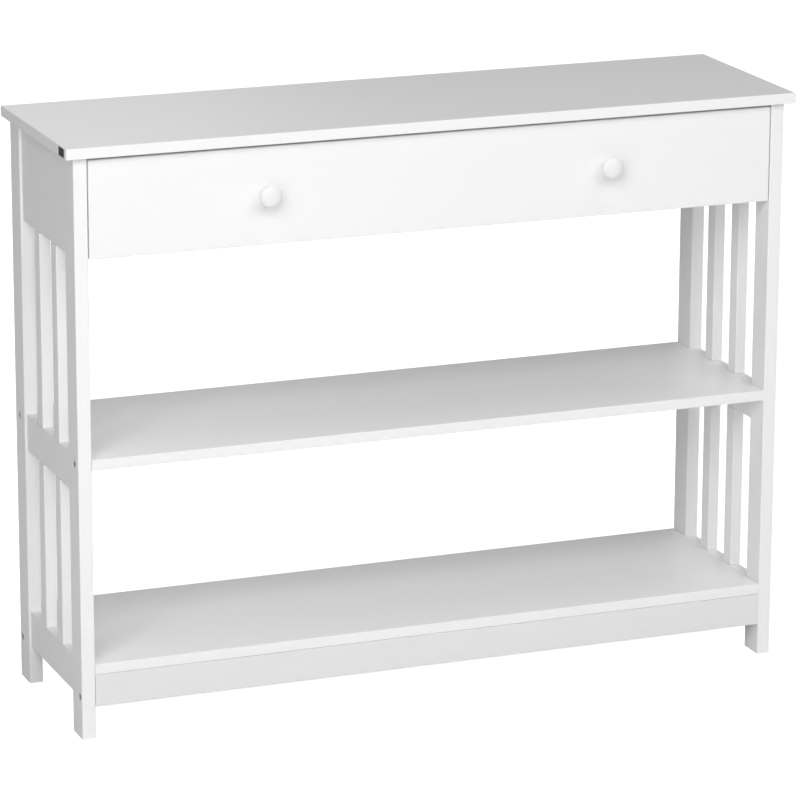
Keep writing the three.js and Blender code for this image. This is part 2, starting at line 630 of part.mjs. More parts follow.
function addRunners(side) {
  const webOut = CLEARANCE + RUNNER_SHEET;
  const back = CABINET_RUNNER_FRONT + CABINET_RUNNER_LENGTH;
  const lipBottom = FLANGE_UNDERSIDE + RUNNER_SHEET + FLANGE_TO_LIP;
  const lipTop = lipBottom + RUNNER_SHEET;
  const cabinetRoller = webOut + ROLLER_SIDE_PLAY;
  const cabinetHead = cabinetRoller + ROLLER_WIDTH + CLEARANCE;
  const cabinetShapes = [
    runnerBlock(side, CLEARANCE, webOut, CABINET_RUNNER_FRONT, back, RUNNER_BOTTOM, lipTop),
    runnerBlock(side, CLEARANCE, CLEARANCE + TRACK_WIDTH, CABINET_RUNNER_FRONT, back, RUNNER_BOTTOM,
      RUNNER_BOTTOM + RUNNER_SHEET),
    runnerBlock(side, CLEARANCE, CLEARANCE + LIP_WIDTH, CABINET_RUNNER_FRONT, back, lipBottom, lipTop),
    ...runnerAxle(side, CLEARANCE, cabinetHead + AXLE_HEAD_WIDTH, cabinetHead, CABINET_ROLLER_Y),
  ];
  const railX = side.sign * (FRAME_INNER_X - RUNNER_SPACE / 2);
  const cabinetPlace = [railX, CABINET_RUNNER_FRONT + CABINET_RUNNER_LENGTH / 2, ROLLER_HEIGHT];
  joinedPiece(`${side.name}_cabinet_runner`, cabinetShapes, cabinetPlace, coatedSteel());

  const drawerWeb = RUNNER_SPACE - CLEARANCE;
  const webFace = drawerWeb - RUNNER_SHEET;
  const flangeTop = FLANGE_UNDERSIDE + RUNNER_SHEET;
  const drawerRoller = webFace - ROLLER_SIDE_PLAY - ROLLER_WIDTH;
  const drawerHead = drawerRoller - CLEARANCE - AXLE_HEAD_WIDTH;
  const drawerShapes = [
    runnerBlock(side, webFace, drawerWeb, DRAWER_RUNNER_FRONT, DRAWER_RUNNER_BACK,
      flangeTop - DRAWER_RUNNER_HEIGHT, flangeTop),
    runnerBlock(side, drawerWeb - DRAWER_FLANGE_WIDTH, drawerWeb, DRAWER_RUNNER_FRONT, DRAWER_RUNNER_BACK,
      FLANGE_UNDERSIDE, flangeTop),
    ...runnerAxle(side, drawerHead, drawerWeb, drawerHead, DRAWER_ROLLER_Y),
  ];
  const drawerPlace = [railX, (DRAWER_RUNNER_FRONT + DRAWER_RUNNER_BACK) / 2, ROLLER_HEIGHT];
  joinedPiece(`${side.name}_drawer_runner`, drawerShapes, drawerPlace, coatedSteel());

  const cabinetRollerX = side.sign * (FRAME_INNER_X - cabinetRoller - ROLLER_WIDTH / 2);
  const drawerRollerX = side.sign * (FRAME_INNER_X - drawerRoller - ROLLER_WIDTH / 2);
  const cabinetRollerPlace = [cabinetRollerX, CABINET_ROLLER_Y, ROLLER_HEIGHT];
  const drawerRollerPlace = [drawerRollerX, DRAWER_ROLLER_Y, ROLLER_HEIGHT];
  addPiece(`${side.name}_cabinet_roller`, rollerRing(), cabinetRollerPlace, nylon());
  addPiece(`${side.name}_drawer_roller`, rollerRing(), drawerRollerPlace, nylon());
}

addTop();
for (const side of sides) {
  for (const end of ends) {
    addLeg(side, end);
  }
  for (const member of frameMembers) {
    addFrameMember(side, member);
  }
  for (const bay of frameBays) {
    addSlats(side, bay);
  }
}
addShelvesAndAprons();
addRearPanelAndCleats();
addBolts();
addDrawer();
addKnobs();
for (const side of sides) {
  addRunners(side);
}

export default table;
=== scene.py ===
import json
import math

import bmesh
import bpy
from mathutils import Matrix, Vector


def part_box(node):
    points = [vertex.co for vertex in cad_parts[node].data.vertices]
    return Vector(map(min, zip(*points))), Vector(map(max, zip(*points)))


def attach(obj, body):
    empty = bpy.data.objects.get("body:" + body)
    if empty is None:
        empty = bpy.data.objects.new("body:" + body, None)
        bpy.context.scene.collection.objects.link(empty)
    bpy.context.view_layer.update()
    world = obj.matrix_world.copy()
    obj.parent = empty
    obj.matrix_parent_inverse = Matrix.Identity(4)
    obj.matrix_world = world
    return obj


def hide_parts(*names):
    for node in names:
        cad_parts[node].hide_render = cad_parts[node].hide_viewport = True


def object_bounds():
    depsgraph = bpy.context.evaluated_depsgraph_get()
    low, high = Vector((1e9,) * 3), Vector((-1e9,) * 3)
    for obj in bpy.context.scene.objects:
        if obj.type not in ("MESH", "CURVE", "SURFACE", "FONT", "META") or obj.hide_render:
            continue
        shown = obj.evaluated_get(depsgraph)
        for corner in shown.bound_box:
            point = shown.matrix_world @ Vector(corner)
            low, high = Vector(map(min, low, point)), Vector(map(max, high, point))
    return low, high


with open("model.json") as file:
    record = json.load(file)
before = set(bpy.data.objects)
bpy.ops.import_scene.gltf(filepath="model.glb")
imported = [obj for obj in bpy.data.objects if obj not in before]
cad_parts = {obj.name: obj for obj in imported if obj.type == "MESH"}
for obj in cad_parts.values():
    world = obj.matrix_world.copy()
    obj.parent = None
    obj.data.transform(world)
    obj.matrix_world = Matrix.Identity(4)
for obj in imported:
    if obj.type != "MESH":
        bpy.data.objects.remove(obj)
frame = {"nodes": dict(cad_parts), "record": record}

CAD_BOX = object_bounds()
MM = 0.001

# Camera: a long lens from the left and above, turned and tilted in degrees.
CAMERA_PLACE = (-2.0272, -5.1670, 1.9208)
CAMERA_YAW = -21.386
CAMERA_PITCH = -15.587
CAMERA_ROLL = 0.198
CAMERA_LENS = 195.73

# Studio light: softboxes as (azimuth, elevation, power), azimuth 0 in front and + to the right.
SOFTBOXES = {
    "key": (-33, 33, 90),
    "low": (-46, 8, 28),
    "fill": (17, 35, 61),
    "above": (75, 68, 40),
    "back": (180, 30, 27),
}
SOFTBOX_DISTANCE = 4.5
SOFTBOX_SIZE = 2.6
SKY_GLOW = 0.09
FLOOR_SIZE = 60
FLOOR_DROP = 0.2 * MM
FLOOR_WHITENESS = 0.88

# Boards: eased edges, and the angle above which an edge counts as one.
EDGE_ROUNDING = 0.4 * MM
EDGE_SEGMENTS = 3
SHARP_ANGLE = math.radians(35)
CREASE_ANGLE = math.radians(32)

# Turned pieces: points around them.
FINE_STEPS = 96
ROUND_STEPS = 48
RINGS_PER_PITCH = 5
CURVE_STEPS = 12

# Knobs.
KNOB_BORE_RADIUS = 2.3 * MM
KNOB_BORE_DEPTH = 14 * MM
KNOB_FOOT_RADIUS = 8 * MM

# Connector bolts and barrel nuts.
BOLT_HEAD_HEIGHT = 6 * MM
BOLT_HEAD_RADIUS = 5 * MM
BOLT_RADIUS = 3 * MM
BOLT_THREADED = 30 * MM
BOLT_PITCH = 1 * MM
HEX_HALF_WIDTH = 2.5 * MM
HEX_DEPTH = 3 * MM
NUT_BORE_RADIUS = 3.2 * MM
NUT_SLOT = (1.2 * MM, 1 * MM)

# Screws: head radius, head height, shank radius, thread depth, pitch; then lengths, an inset and the
# driver recess as shares of the head's radius.
KNOB_SCREW = (4 * MM, 2.6 * MM, 2 * MM, 0.4 * MM, 0.7 * MM)
WOOD_SCREW = (3 * MM, 0.8 * MM, 1.6 * MM, 0.5 * MM, 1.4 * MM)
CLEAT_SCREW = 25 * MM
CORNER_SCREW = 30 * MM
CORNER_SCREW_INSET = 14 * MM
APRON_SCREW = 50 * MM
CROSS_ARM = 0.55
CROSS_HALF_WIDTH = 0.14

# Runners: sizes, then screws and slots as shares of a runner's length, then the lengths of the screws.
SHEET = 1.2 * MM
BEND_RADIUS = 0.9 * MM
CABINET_LIP = 7.7 * MM
AXLE_RADIUS = 2.5 * MM
AXLE_HEAD_RADIUS = 3.8 * MM
AXLE_HEAD_WIDTH = 1 * MM
AXLE_END_PLAY = 0.3 * MM
SLOT_LENGTH = 9 * MM
SLOT_WIDTH = 4.2 * MM
RUNNER_SCREWS = (0.14, 0.5, 0.86)
RUNNER_SLOTS = (0.3, 0.68)
DRAWER_RUNNER_SCREW = 10 * MM
CABINET_RUNNER_SCREW = 12 * MM

# The blank tag: corner radius, border width, and the step down inside the border.
TAG_CORNER = 0.9 * MM
TAG_BORDER = 0.7 * MM
TAG_STEP_WIDTH = 0.1 * MM
TAG_STEP_DEPTH = 0.12 * MM

SLOTS = {part["node"]: part["material_slot"] for part in frame["record"]["subparts"]}
BODIES = {node: body for body, nodes in frame["record"]["behaviour"]["bodies"].items() for node in nodes}
SIDES = {"left": -1, "right": 1}


# Camera, lights and floor.


def add_camera():
    data = bpy.data.cameras.new("camera")
    data.sensor_width = 36
    data.lens = CAMERA_LENS
    data.clip_end = 100
    camera = bpy.data.objects.new("camera", data)
    bpy.context.collection.objects.link(camera)
    turn = Matrix.Rotation(math.radians(CAMERA_YAW), 4, "Z")
    tilt = Matrix.Rotation(math.radians(90 + CAMERA_PITCH), 4, "X")
    roll = Matrix.Rotation(math.radians(CAMERA_ROLL), 4, "Z")
    camera.matrix_world = Matrix.Translation(CAMERA_PLACE) @ turn @ tilt @ roll
    bpy.context.scene.camera = camera


def add_softbox(name, azimuth, elevation, power):
    """A square soft light aimed at the middle of the object."""
    turn = Matrix.Rotation(math.radians(azimuth), 3, "Z")
    tilt = Matrix.Rotation(math.radians(-elevation), 3, "X")
    away = turn @ tilt @ Vector((0, -SOFTBOX_DISTANCE, 0))
    data = bpy.data.lights.new(name, "AREA")
    data.size = SOFTBOX_SIZE
    data.energy = power
    light = bpy.data.objects.new(name, data)
    bpy.context.collection.objects.link(light)
    light.location = (CAD_BOX[0] + CAD_BOX[1]) / 2 + away
    light.rotation_euler = (-away).to_track_quat("-Z", "Y").to_euler()


def seen_first(tree, low, high):
    """A number that is high where the ray comes straight from the lens and low for all other light."""
    path = tree.nodes.new("ShaderNodeLightPath")
    choice = tree.nodes.new("ShaderNodeMapRange")
    choice.inputs["To Min"].default_value = low
    choice.inputs["To Max"].default_value = high
    tree.links.new(path.outputs["Is Camera Ray"], choice.inputs["Value"])
    return choice.outputs["Result"]


def add_lights():
    for name, settings in SOFTBOXES.items():
        add_softbox(name, *settings)
    world = bpy.data.worlds.new("studio")
    bpy.context.scene.world = world
    world.use_nodes = True
    background = world.node_tree.nodes["Background"]
    background.inputs["Color"].default_value = (1, 1, 1, 1)
    world.node_tree.links.new(seen_first(world.node_tree, SKY_GLOW, 1), background.inputs["Strength"])
    bpy.context.scene.view_settings.view_transform = "Standard"


def add_floor():
    bm = bmesh.new()
    bmesh.ops.create_grid(bm, x_segments=1, y_segments=1, size=FLOOR_SIZE / 2)
    bm.transform(Matrix.Translation((0, 0, -FLOOR_DROP)))
    mesh = bpy.data.meshes.new("floor")
    bm.to_mesh(mesh)
    bm.free()
    floor = bpy.data.objects.new("floor", mesh)
    bpy.context.collection.objects.link(floor)
    material = bpy.data.materials.new("pale_floor")
    material.use_nodes = True
    shader = material.node_tree.nodes["Principled BSDF"]
    shader.inputs["Base Color"].default_value = (0.9, 0.9, 0.9, 1)
    shader.inputs["Roughness"].default_value = 0.9
    shader.inputs["Specular IOR Level"].default_value = 0.1
    shader.inputs["Emission Color"].default_value = (1, 1, 1, 1)
    whiteness = seen_first(material.node_tree, 0, FLOOR_WHITENESS)
    material.node_tree.links.new(whiteness, shader.inputs["Emission Strength"])
    mesh.materials.append(material)


# Materials.


class Shading:
    """A material's node tree, with short calls for the nodes that the materials share."""

    def __init__(self, name):
        self.material = bpy.data.materials.new(name)
        self.material.use_nodes = True
        self.nodes = self.material.node_tree.nodes
        self.links = self.material.node_tree.links
        self.shader = self.nodes["Principled BSDF"]
        self.place = self.nodes.new("ShaderNodeTexCoord").outputs["Object"]

    def put(self, socket, value):
        if isinstance(value, bpy.types.NodeSocket):
            self.links.new(value, socket)
        else:
            socket.default_value = value

    def noise(self, scale, detail=3.0, roughness=0.5, stretch=(1, 1, 1)):
        mapping = self.nodes.new("ShaderNodeMapping")
        mapping.inputs["Scale"].default_value = stretch
        self.put(mapping.inputs["Vector"], self.place)
        noise = self.nodes.new("ShaderNodeTexNoise")
        self.put(noise.inputs["Vector"], mapping.outputs["Vector"])
        noise.inputs["Scale"].default_value = scale
        noise.inputs["Detail"].default_value = detail
        noise.inputs["Roughness"].default_value = roughness
        return noise.outputs["Fac"]

    def ramp(self, value, low, high, to_low=0.0, to_high=1.0):
        node = self.nodes.new("ShaderNodeMapRange")
        self.put(node.inputs["Value"], value)
        limits = {"From Min": low, "From Max": high, "To Min": to_low, "To Max": to_high}
        for name, number in limits.items():
            node.inputs[name].default_value = number
        return node.outputs["Result"]

    def mix(self, factor, first, second):
        node = self.nodes.new("ShaderNodeMix")
        node.data_type = "RGBA"
        self.put(node.inputs["Factor"], factor)
        self.put(node.inputs["A"], first)
        self.put(node.inputs["B"], second)
        return node.outputs["Result"]

    def times(self, first, second):
        node = self.nodes.new("ShaderNodeMath")
        node.operation = "MULTIPLY"
        self.put(node.inputs[0], first)
        self.put(node.inputs[1], second)
        return node.outputs["Value"]

    def edge(self):
        """1 on the rounded edges of a board, 0 on its faces."""
        node = self.nodes.new("ShaderNodeAttribute")
        node.attribute_name = "edge"
        return node.outputs["Fac"]

    def bump(self, height, strength, distance, under=None):
        node = self.nodes.new("ShaderNodeBump")
        node.inputs["Strength"].default_value = strength
        node.inputs["Distance"].default_value = distance
        self.put(node.inputs["Height"], height)
        if under is not None:
            self.put(node.inputs["Normal"], under)
        return node.outputs["Normal"]

    def finish(self, colour, roughness, normal=None):
        self.put(self.shader.inputs["Base Color"], colour)
        self.put(self.shader.inputs["Roughness"], roughness)
        if normal is not None:
            self.put(self.shader.inputs["Normal"], normal)
        return self.material


def grey(level, warmth=0.0):
    return (level + warmth, level, level - warmth, 1)


def along(axis, stretch):
    """Scale of a pattern that is drawn out along one axis."""
    return tuple(stretch if name == axis else 1.0 for name in "xyz")


def painted_wood(name, grain, level=0.897):
    """Satin white paint on wood: faint fibres along the grain, roller stipple, edges worn a little thin."""
    s = Shading(name)
    clouds = s.noise(3.0, 2.0)
    fibres = s.noise(380.0, 5.0, 0.6, along(grain, 0.03))
    pores = s.noise(1500.0, 2.0, 0.5, along(grain, 0.06))
    stipple = s.noise(700.0, 2.0)
    base = s.mix(s.ramp(clouds, 0.35, 0.65), grey(level - 0.004, 0.001), grey(level + 0.004, 0.001))
    base = s.mix(s.ramp(fibres, 0.45, 0.8, 0.0, 0.3), base, grey(level - 0.027, 0.003))
    wear = s.times(s.edge(), s.ramp(s.noise(70.0, 4.0, 0.7), 0.5, 0.75, 0.0, 0.25))
    colour = s.mix(wear, base, grey(0.72, 0.012))
    roughness = s.ramp(fibres, 0.3, 0.75, 0.39, 0.45)
    normal = s.bump(fibres, 0.16, 0.2 * MM)
    normal = s.bump(pores, 0.1, 0.1 * MM, normal)
    normal = s.bump(stipple, 0.08, 0.15 * MM, normal)
    s.shader.inputs["Specular IOR Level"].default_value = 0.5
    return s.finish(colour, roughness, normal)


def foiled_board(name, level, grain):
    """White foil with a printed grain, on the drawer box and its floor."""
    s = Shading(name)
    streaks = s.noise(240.0, 5.0, 0.6, along(grain, 0.02))
    pores = s.noise(1200.0, 2.0, 0.5, along(grain, 0.05))
    colour = s.mix(s.ramp(streaks, 0.35, 0.7), grey(level, 0.006), grey(level + 0.015, 0.004))
    worn = s.times(s.edge(), s.ramp(s.noise(90.0, 4.0, 0.7), 0.45, 0.7, 0.0, 0.5))
    colour = s.mix(worn, colour, (0.62, 0.54, 0.43, 1))
    return s.finish(colour, s.ramp(streaks, 0.3, 0.7, 0.48, 0.58), s.bump(pores, 0.15, 0.1 * MM))


def zinc_steel(name):
    """Bright zinc plate with a fine spangle and faint random stains."""
    s = Shading(name)
    spangle = s.noise(1400.0, 3.0, 0.6)
    stains = s.noise(220.0, 4.0, 0.6)
    colour = s.mix(s.ramp(spangle, 0.3, 0.7), (0.5, 0.52, 0.55, 1), (0.64, 0.65, 0.66, 1))
    colour = s.mix(s.ramp(stains, 0.55, 0.8, 0.0, 0.4), colour, (0.42, 0.4, 0.36, 1))
    s.shader.inputs["Metallic"].default_value = 1.0
    return s.finish(colour, s.ramp(stains, 0.3, 0.7, 0.24, 0.42), s.bump(spangle, 0.1, 0.05 * MM))


def coated_steel(name):
    """White powder coat with the fine orange peel of baked enamel."""
    s = Shading(name)
    peel = s.noise(1100.0, 2.0)
    flow = s.noise(60.0, 3.0, 0.5, along("y", 0.1))
    colour = s.mix(s.ramp(flow, 0.35, 0.65), grey(0.74, 0.004), grey(0.79, 0.003))
    scuffs = s.ramp(s.noise(320.0, 5.0, 0.7, along("y", 0.02)), 0.6, 0.8, 0.0, 0.3)
    colour = s.mix(scuffs, colour, grey(0.55))
    return s.finish(colour, s.ramp(peel, 0.3, 0.7, 0.3, 0.42), s.bump(peel, 0.2, 0.1 * MM))


def nylon(name):
    """Milky moulded nylon, a little soft to light."""
    s = Shading(name)
    mottle = s.noise(400.0, 3.0)
    colour = s.mix(s.ramp(mottle, 0.3, 0.7), (0.74, 0.72, 0.66, 1), (0.8, 0.78, 0.72, 1))
    s.shader.inputs["Subsurface Weight"].default_value = 0.1
    s.shader.inputs["Subsurface Scale"].default_value = 1 * MM
    return s.finish(colour, s.ramp(mottle, 0.3, 0.7, 0.4, 0.5), s.bump(mottle, 0.1, 0.1 * MM))


def dark_tag(name):
    """Dark moulded plate with a fine grained face."""
    s = Shading(name)
    grain = s.noise(1100.0, 3.0)
    colour = s.mix(s.ramp(grain, 0.3, 0.7), grey(0.03), grey(0.045))
    return s.finish(colour, s.ramp(grain, 0.3, 0.7, 0.42, 0.58), s.bump(grain, 0.25, 0.05 * MM))


PAINT = {axis: painted_wood(f"white_paint_{axis}", axis) for axis in "xyz"}
# Painted shade: a darker copy of the white paint on the aprons, for the less light that reaches them under
# the bottom shelf.
APRON_SHADED_PAINT = painted_wood("apron_shaded_paint", "x", 0.79)
# Painted shade: a darker copy of the white paint on the knobs, to dim their brightly lit crowns.
KNOB_SHADED_PAINT = painted_wood("knob_shaded_paint", "y", 0.85)
FOIL = {axis: foiled_board(f"drawer_foil_{axis}", 0.76, axis) for axis in "xyz"}
FINISHES = {
    "drawer_hardboard": foiled_board("drawer_floor_foil", 0.72, "x"),
    "zinc_plated_steel": zinc_steel("zinc_plate"),
    "coated_runner_steel": coated_steel("runner_coat"),
    "nylon_roller": nylon("roller_nylon"),
    "dark_tag": dark_tag("tag_dark"),
}
GRAINED = {"white_painted_wood": PAINT, "drawer_board": FOIL}


# Pieces.


def long_axis(node):
    low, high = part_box(node)
    spans = [high[i] - low[i] for i in range(3)]
    return "xyz"[spans.index(max(spans))]


def material_for(node):
    slot = SLOTS[node]
    # Aprons take the darker copy of the paint, painted shade.
    if node.endswith("_apron"):
        return APRON_SHADED_PAINT
    # Knobs take the darker copy of the paint, painted shade.
    if node.endswith("_knob"):
        return KNOB_SHADED_PAINT
    if slot in GRAINED:
        return GRAINED[slot][long_axis(node)]
    return FINISHES[slot]


def add_piece(name, bm, material, body, node=None):
    """Makes an object that rides on a body, has a material and, where a node is given, stands for it."""
    mesh = bpy.data.meshes.new(name)
    bm.to_mesh(mesh)
    bm.free()
    mesh.materials.append(material)
    mesh.shade_smooth()
    piece = bpy.data.objects.new(name, mesh)
    bpy.context.collection.objects.link(piece)
    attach(piece, body)
    if node is not None:
        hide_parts(node)
    return piece


def stand_for(node, bm, suffix):
    """A detailed piece in place of a CAD node, with creases where its faces meet at an angle."""
    piece = add_piece(f"{node}_{suffix}", bm, material_for(node), BODIES[node], node)
    piece.data.set_sharp_from_angle(angle=CREASE_ANGLE)
    return piece


def box_of(node):
    """A node's lowest corner, highest corner and middle."""
    low, high = (Vector(corner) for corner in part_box(node))
    return low, high, (low + high) / 2


def pointing(place, direction):
    """Places a shape that was made along +Z at a point, with +Z turned to a direction."""
    return Matrix.Translation(place) @ Vector(direction).to_track_quat("Z", "Y").to_matrix().to_4x4()


def rounded_board(node):
    """The node's own shape with its flat faces made whole and its edges rounded over."""
    bm = bmesh.new()
    bm.from_mesh(frame["nodes"][node].data)
    bmesh.ops.remove_doubles(bm, verts=bm.verts, dist=0.001 * MM)
    bmesh.ops.dissolve_limit(bm, angle_limit=math.radians(0.5), verts=bm.verts, edges=bm.edges)
    edges = [e for e in bm.edges if len(e.link_faces) == 2 and e.calc_face_angle() > SHARP_ANGLE]
    made = bmesh.ops.bevel(
        bm, geom=edges, offset=EDGE_ROUNDING, segments=EDGE_SEGMENTS, profile=0.5, affect="EDGES",
        clamp_overlap=True,
    )
    layer = bm.loops.layers.float.new("edge")
    for face in made["faces"]:
        for loop in face.loops:
            loop[layer] = 1
    piece = add_piece(f"{node}_board", bm, material_for(node), BODIES[node], node)
    weighted = piece.modifiers.new("weighted_normals", "WEIGHTED_NORMAL")
    weighted.weight = 100


# Shapes made of rings of points about the Z axis.


def ring_solid(rings, steps, closed=False):
    """A closed mesh through rings of (height, radius); a radius may be a function of the angle.

    A solid starts and ends with radius 0, unless it is closed like a tyre, from its last ring to its first.
    """
    bm = bmesh.new()
    loops = []
    for height, radius in rings:
        if radius == 0:
            loops.append([bm.verts.new((0, 0, height))])
            continue
        loop = []
        for step in range(steps):
            angle = 2 * math.pi * step / steps
            reach = radius(angle) if callable(radius) else radius
            loop.append(bm.verts.new((reach * math.cos(angle), reach * math.sin(angle), height)))
        loops.append(loop)
    followers = loops[1:] + loops[:1] if closed else loops[1:]
    for low, high in zip(loops, followers):
        for step in range(steps):
            after = (step + 1) % steps
            low_side = [low[step % len(low)], low[after % len(low)]]
            high_side = [high[after % len(high)], high[step % len(high)]]
            bm.faces.new(list(dict.fromkeys(low_side + high_side)))
    bmesh.ops.recalc_face_normals(bm, faces=bm.faces)
    return bm


def arc(height, radius, size, from_angle, to_angle, steps=4):
    """Rings along a quarter-round or any other arc about (height, radius), with angles in degrees."""
    rings = []
    for i in range(steps + 1):
        angle = math.radians(from_angle + (to_angle - from_angle) * i / steps)
        rings.append((height + size * math.sin(angle), radius + size * math.cos(angle)))
    return rings


def bezier(points, steps=CURVE_STEPS):
    """(height, radius) rings along a cubic curve given by four (radius, height) points in millimetres."""
    a, b, c, d = (Vector(p) for p in points)
    rings = []
    for i in range(steps + 1):
        t = i / steps
        p = a * (1 - t) ** 3 + b * 3 * t * (1 - t) ** 2 + c * 3 * t * t * (1 - t) + d * t ** 3
        rings.append((p.y * MM, p.x * MM))
    return rings


def hexagon(half_width):
    def reach(angle):
        return half_width / math.cos(angle % (math.pi / 3) - math.pi / 6)
    return reach


def cross(arm, half_width):
    def reach(angle):
        off = (angle + math.pi / 4) % (math.pi / 2) - math.pi / 4
        return min(arm / math.cos(off), half_width / max(abs(math.sin(off)), 1e-6))
    return reach


def threads(bottom, top, radius, depth, pitch):
    """Rings of a screw thread from one height to another."""
    def crest(height):
        def reach(angle):
            turn = (height / pitch - angle / (2 * math.pi)) % 1
            return radius - depth * abs(2 * turn - 1)
        return reach
    count = max(2, round((top - bottom) / pitch * RINGS_PER_PITCH))
    heights = [bottom + (top - bottom) * i / count for i in range(count + 1)]
    return [(height, crest(height)) for height in heights]


def combined(first, second, operation):
    """A boolean of two closed bmeshes, as a new bmesh."""
    operands = []
    for bm in (first, second):
        mesh = bpy.data.meshes.new("operand")
        bm.to_mesh(mesh)
        bm.free()
        operand = bpy.data.objects.new("operand", mesh)
        bpy.context.collection.objects.link(operand)
        operands.append(operand)
    modifier = operands[0].modifiers.new("combine", "BOOLEAN")
    modifier.operation = operation
    modifier.solver = "EXACT"
    modifier.object = operands[1]
    result = bmesh.new()
    result.from_object(operands[0], bpy.context.evaluated_depsgraph_get())
    for operand in operands:
        mesh = operand.data
        bpy.data.objects.remove(operand)
        bpy.data.meshes.remove(mesh)
    return result


# Hardware.


def turned_knob(node):
    """A knob turned in one piece: foot, slim neck, flared shoulder, crowned head, and a blind bore."""
    _, high, middle = box_of(node)
    rim = 0.5 * MM
    bore_end = KNOB_BORE_DEPTH - 2 * rim
    rings = [(KNOB_BORE_DEPTH, 0), (bore_end, KNOB_BORE_RADIUS), (rim, KNOB_BORE_RADIUS)]
    rings += [(0, KNOB_BORE_RADIUS + rim), (0, KNOB_FOOT_RADIUS), *arc(rim, KNOB_FOOT_RADIUS, rim, -90, 0)]
    rings += bezier([(8.5, 1.6), (8.3, 4.2), (5.7, 6), (6.1, 8.6)])
    rings += bezier([(6.1, 8.6), (6.5, 11.6), (10, 13), (12.4, 14)])[1:]
    rings += bezier([(12.4, 14), (13.9, 14.8), (14.5, 16), (14.5, 18)])[1:]
    rings += bezier([(14.5, 18), (14.5, 22.5), (9, 25), (0, 25)], 2 * CURVE_STEPS)[1:]
    bm = ring_solid(rings, FINE_STEPS)
    bm.transform(pointing((middle.x, high.y, middle.z), (0, -1, 0)))
    stand_for(node, bm, "turned")


def connector_bolt(node, side):
    """A bolt with a chamfered cylinder head, a hexagon socket and a threaded tip."""
    low, high, middle = box_of(node)
    length = high.x - low.x
    rim = 0.4 * MM
    thread_top = -length + BOLT_THREADED
    rings = [(-length, 0), (-length, BOLT_RADIUS - 2 * rim)]
    rings += threads(-length + rim, thread_top, BOLT_RADIUS, rim, BOLT_PITCH)
    rings += [(thread_top + rim, BOLT_RADIUS - rim / 2), (-BOLT_HEAD_HEIGHT, BOLT_RADIUS - rim / 2)]
    rings += [(-BOLT_HEAD_HEIGHT, BOLT_HEAD_RADIUS - rim), (-BOLT_HEAD_HEIGHT + rim, BOLT_HEAD_RADIUS)]
    rings += arc(-rim, BOLT_HEAD_RADIUS - rim, rim, 0, 90)
    rings += [(0, hexagon(HEX_HALF_WIDTH + rim / 2)), (-rim / 2, hexagon(HEX_HALF_WIDTH))]
    rings += [(-HEX_DEPTH, hexagon(HEX_HALF_WIDTH)), (-HEX_DEPTH - 2 * rim, 0)]
    bm = ring_solid(rings, ROUND_STEPS)
    outer = high.x if side > 0 else low.x
    bm.transform(pointing((outer, middle.y, middle.z), (side, 0, 0)))
    stand_for(node, bm, "bolt")


def barrel_nut(node, outward):
    """A cross-bored cylinder with chamfered ends and a driver slot in the end that can be reached."""
    low, high, middle = box_of(node)
    axis = Vector(outward)
    half = abs((high - low).dot(axis)) / 2
    radius = (high.x - low.x) / 2
    rim = 0.4 * MM
    rings = [(-half, 0), (-half, radius - rim), (rim - half, radius)]
    rings += [(half - rim, radius), (half, radius - rim), (half, 0)]
    body = ring_solid(rings, ROUND_STEPS)
    reach = 2 * radius
    bore_rings = [(-reach, 0), (-reach, NUT_BORE_RADIUS), (reach, NUT_BORE_RADIUS), (reach, 0)]
    bore = ring_solid(bore_rings, ROUND_STEPS)
    bore.transform(Matrix.Rotation(math.pi / 2, 4, "Y"))
    body = combined(body, bore, "DIFFERENCE")
    width, depth = NUT_SLOT
    slot = bmesh.new()
    bmesh.ops.create_cube(slot, size=1)
    slot.transform(Matrix.Translation((0, 0, half)) @ Matrix.Diagonal((2 * reach, width, 2 * depth, 1)))
    body = combined(body, slot, "DIFFERENCE")
    body.transform(pointing(middle, axis))
    stand_for(node, body, "barrel")


def screw_shape(size, length):
    """A pan-head screw along Z, its head's seat at height 0 and its point down."""
    head_radius, head_height, radius, depth, pitch = size
    point = 2 * radius
    rim = 0.1 * MM
    rings = [(-length, 0), *threads(-length + point, -pitch / 2, radius, depth, pitch)]
    rings += [(-pitch / 4, radius - depth / 2), (0, radius), (0, head_radius - rim), (rim, head_radius)]
    crown = 0.6 * head_height
    rings += [(head_height - crown, head_radius)]
    for i in range(1, 5):
        turn = math.pi / 2 * i / 5
        drop = crown * (1 - math.sin(turn))
        rings.append((head_height - drop, head_radius * (1 - 0.3 * (1 - math.cos(turn)))))
    arm, half = CROSS_ARM * head_radius, CROSS_HALF_WIDTH * head_radius
    rings += [(head_height, cross(arm, half)), (0.2 * head_height, cross(0.7 * arm, 0.8 * half))]
    rings += [(0.05 * head_height, 0)]
    return ring_solid(rings, ROUND_STEPS)


def knob_screw(node):
    low, high, middle = box_of(node)
    head_height = KNOB_SCREW[1]
    bm = screw_shape(KNOB_SCREW, high.y - low.y - head_height)
    bm.transform(pointing((middle.x, high.y - head_height, middle.z), (0, 1, 0)))
    stand_for(node, bm, "driven")


def wood_screw(name, place, direction, length, body):
    bm = screw_shape(WOOD_SCREW, length)
    bm.transform(pointing(place, direction))
    piece = add_piece(name, bm, FINISHES["zinc_plated_steel"], body)
    piece.data.set_sharp_from_angle(angle=CREASE_ANGLE)


# Runners and rollers.


